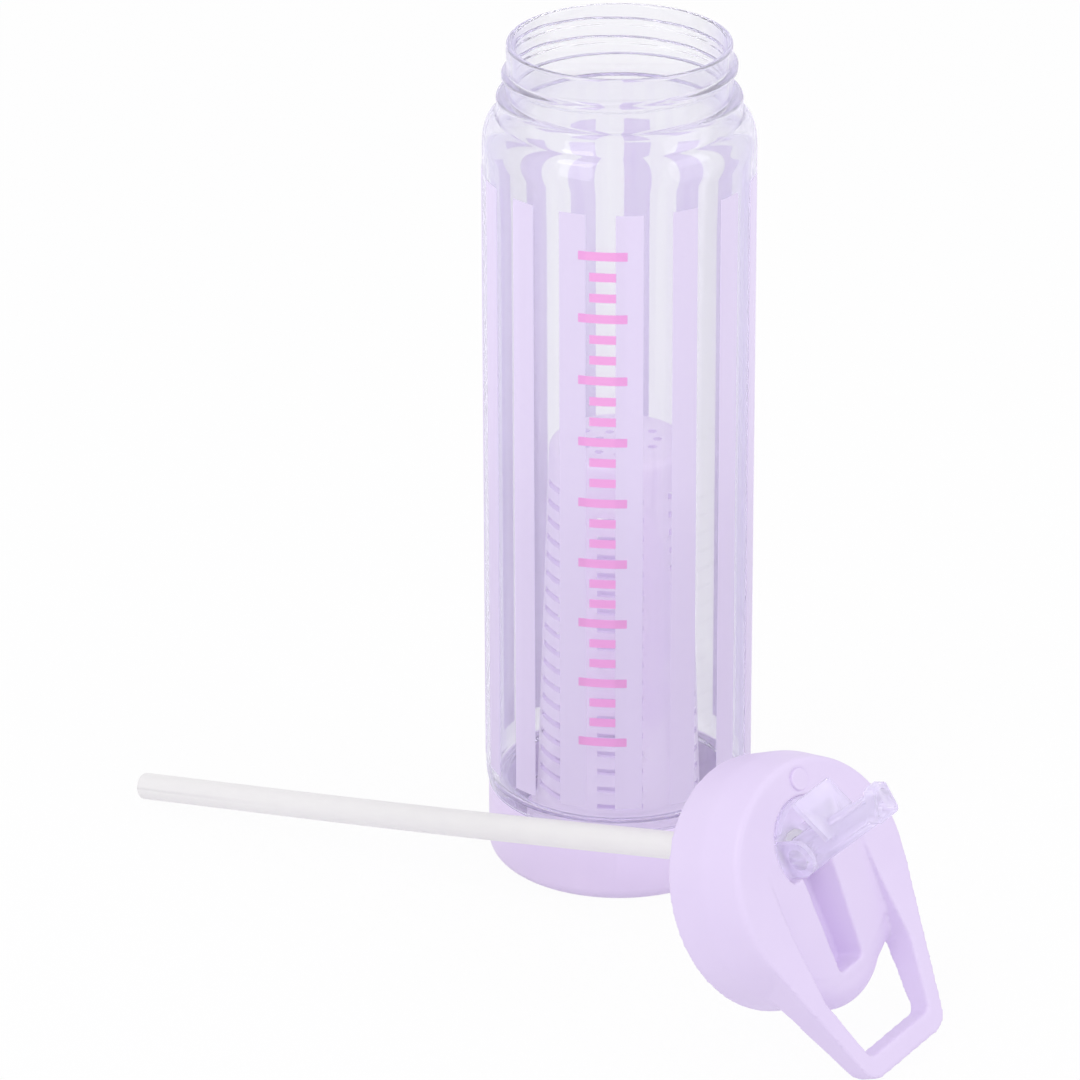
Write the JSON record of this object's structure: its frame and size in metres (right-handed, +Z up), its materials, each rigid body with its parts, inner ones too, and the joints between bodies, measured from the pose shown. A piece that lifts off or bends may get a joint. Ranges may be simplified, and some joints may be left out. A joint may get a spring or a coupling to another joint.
{
  "type": "fruit infuser water bottle",
  "caption": "Clear water bottle with a slotted fruit infuser on a screw-on base cup, and a flip-spout lid with a straw and a carry loop lying beside it.",
  "frame": {"origin": "centre of the base cup's flat underside, on the table", "axes": "+Z up along the bottle's axis, -Y towards the printed level marks, +X to the right of someone who faces them"},
  "size_m": [0.2223, 0.177, 0.2364],
  "materials": {
    "clear_plastic": "clear polished copolyester",
    "stripe_ink": "lavender screen print",
    "mark_ink": "pink screen print",
    "base_plastic": "fine matte moulding",
    "lid_plastic": "fine matte moulding",
    "infuser_plastic": "translucent moulding",
    "spout_plastic": "clear polished moulding",
    "straw_plastic": "milky extruded tube",
    "seal_silicone": "soft translucent silicone"
  },
  "bodies": {
    "base": {"base_cup": "base_plastic", "base_seal": "seal_silicone"},
    "bottle": {"bottle_body": "clear_plastic", "printed_stripes": "stripe_ink", "level_marks": "mark_ink"},
    "infuser_basket": {"infuser": "infuser_plastic"},
    "lid": {"lid_shell": "lid_plastic", "lid_gasket": "seal_silicone", "spout_mount": "spout_plastic", "spout_seal": "seal_silicone", "straw_sleeve": "seal_silicone", "vent_valve": "seal_silicone", "straw": "straw_plastic"},
    "flip_spout": {"spout": "spout_plastic"}
  },
  "joints": [
    {"name": "bottle_lift", "type": "slide", "parent": "base", "child": "bottle", "axis": [0, 0, 1], "range_m": [0, 0.13]},
    {"name": "infuser_lift", "type": "slide", "parent": "base", "child": "infuser_basket", "axis": [0, 0, 1], "range_m": [0, 0.1]},
    {"name": "lid_lift", "type": "slide", "parent": "base", "child": "lid", "axis": [0, 0, 1], "range_m": [0, 0.12]},
    {"name": "spout_fold", "type": "hinge", "parent": "lid", "child": "flip_spout", "pos_m": [0.05186, -0.115, 0.05815], "axis": [0.6076, 0.7818, 0.1402], "range_deg": [0, 110]}
  ]
}
